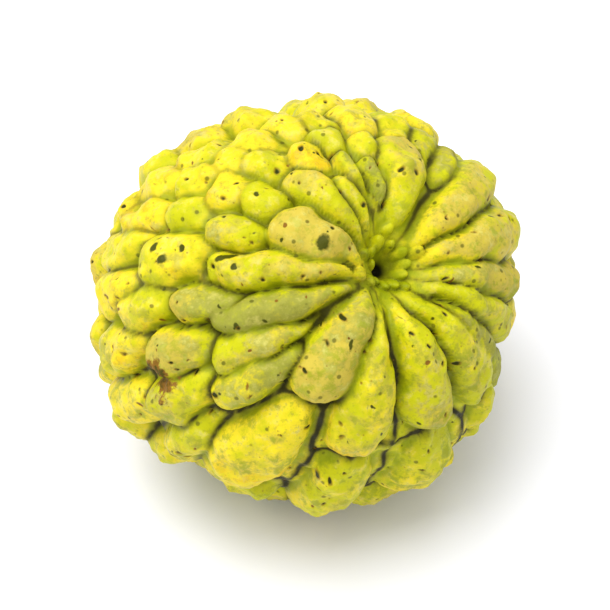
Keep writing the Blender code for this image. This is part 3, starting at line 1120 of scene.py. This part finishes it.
dull = ramp(ragged(attribute("tan"), (mottle, 0.8)), 0.0, 1.0)
join(math_node("ADD", times(dull, TAN_ROUGHNESS), SMOOTHEST), shader.inputs["Roughness"])
shader.inputs["Specular IOR Level"].default_value = GLOSS
print("roughness from", SMOOTHEST, "to", SMOOTHEST + TAN_ROUGHNESS)

# %% Fine relief
RELIEF_STRENGTH = 0.7
RELIEF_HEIGHT = 0.45 * MM

bump = tree.nodes.new("ShaderNodeBump")
bump.inputs["Strength"].default_value = RELIEF_STRENGTH
bump.inputs["Distance"].default_value = RELIEF_HEIGHT
fine = math_node("ADD", times(mottle, 0.35), times(grain, 0.12))
join(math_node("ADD", times(speckle, 0.6), fine), bump.inputs["Height"])
tree.links.new(bump.outputs["Normal"], shader.inputs["Normal"])
fruit_skin.data.materials.append(finish)
print(len(tree.nodes), "nodes in all")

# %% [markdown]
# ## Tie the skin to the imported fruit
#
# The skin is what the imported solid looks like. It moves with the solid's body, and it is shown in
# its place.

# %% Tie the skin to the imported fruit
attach(fruit_skin, "root")
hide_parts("fruit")
print(fruit_skin.name, "stands for the fruit")

# %% [markdown]
# ## Floor, light and camera
#
# A pale floor and one broad lamp high above the fruit, a little to the left, with a bright sky to
# fill the shadows. A small lamp would make them hard and hide the creases. The camera looks down
# on the stem end from 50 degrees up.

# %% Floor
FLOOR_COLOUR = (0.91, 0.92, 0.99, 1.0)  # a little blue, against the yellow light off the fruit

bpy.ops.mesh.primitive_plane_add(size=4.0, location=(0.0, 0.0, solid_low.z - 0.1 * MM))
floor = bpy.context.active_object
floor.name = "floor"
floor_paint = bpy.data.materials.new("pale_floor")
floor_paint.use_nodes = True
floor_shader = floor_paint.node_tree.nodes["Principled BSDF"]
floor_shader.inputs["Base Color"].default_value = FLOOR_COLOUR
floor_shader.inputs["Roughness"].default_value = 0.6
floor.data.materials.append(floor_paint)
print("the floor is at", round(floor.location.z / MM, 1), "mm")

# %% Lamp
AIM = Vector((middle.x, middle.y, 0.037))
KEY_PLACE = Vector((-0.24, -0.05, 0.96))
KEY_POWER = 10.6
KEY_SIZE = 0.8
KEY_COLOUR = (1.0, 0.99, 0.97)


def pointed(place, target):
    """The turn that points a lamp or a camera from a place at a target."""
    return (target - place).to_track_quat("-Z", "Y").to_euler()


key = bpy.data.lights.new("key", "AREA")
key.size = KEY_SIZE
key.energy = KEY_POWER
key.color = KEY_COLOUR
key_object = bpy.data.objects.new("key", key)
key_object.location = KEY_PLACE
key_object.rotation_euler = pointed(KEY_PLACE, AIM)
bpy.context.scene.collection.objects.link(key_object)
print("the lamp is", round((KEY_PLACE - AIM).length, 2), "m away")

# %% Sky
SKY = 0.78

sky = bpy.data.worlds.new("sky")
sky.use_nodes = True
sky.node_tree.nodes["Background"].inputs["Color"].default_value = (1.0, 1.0, 1.0, 1.0)
sky.node_tree.nodes["Background"].inputs["Strength"].default_value = SKY
bpy.context.scene.world = sky
bpy.context.scene.view_settings.view_transform = "Standard"
print("the sky's strength is", SKY)

# %% Camera
CAMERA_ELEVATION = 50.0
CAMERA_DISTANCE = 0.634
FRAME_WIDTH = 0.118  # what the view takes in, at the fruit

elevation = math.radians(CAMERA_ELEVATION)
camera_place = AIM + CAMERA_DISTANCE * Vector((0.0, -math.cos(elevation), math.sin(elevation)))
lens = bpy.data.cameras.new("camera")
lens.angle = 2.0 * math.atan(0.5 * FRAME_WIDTH / CAMERA_DISTANCE)
camera = bpy.data.objects.new("camera", lens)
camera.location = camera_place
camera.rotation_euler = pointed(camera_place, AIM)
bpy.context.scene.collection.objects.link(camera)
bpy.context.scene.camera = camera
print("the lens takes in", round(math.degrees(lens.angle), 1), "degrees")
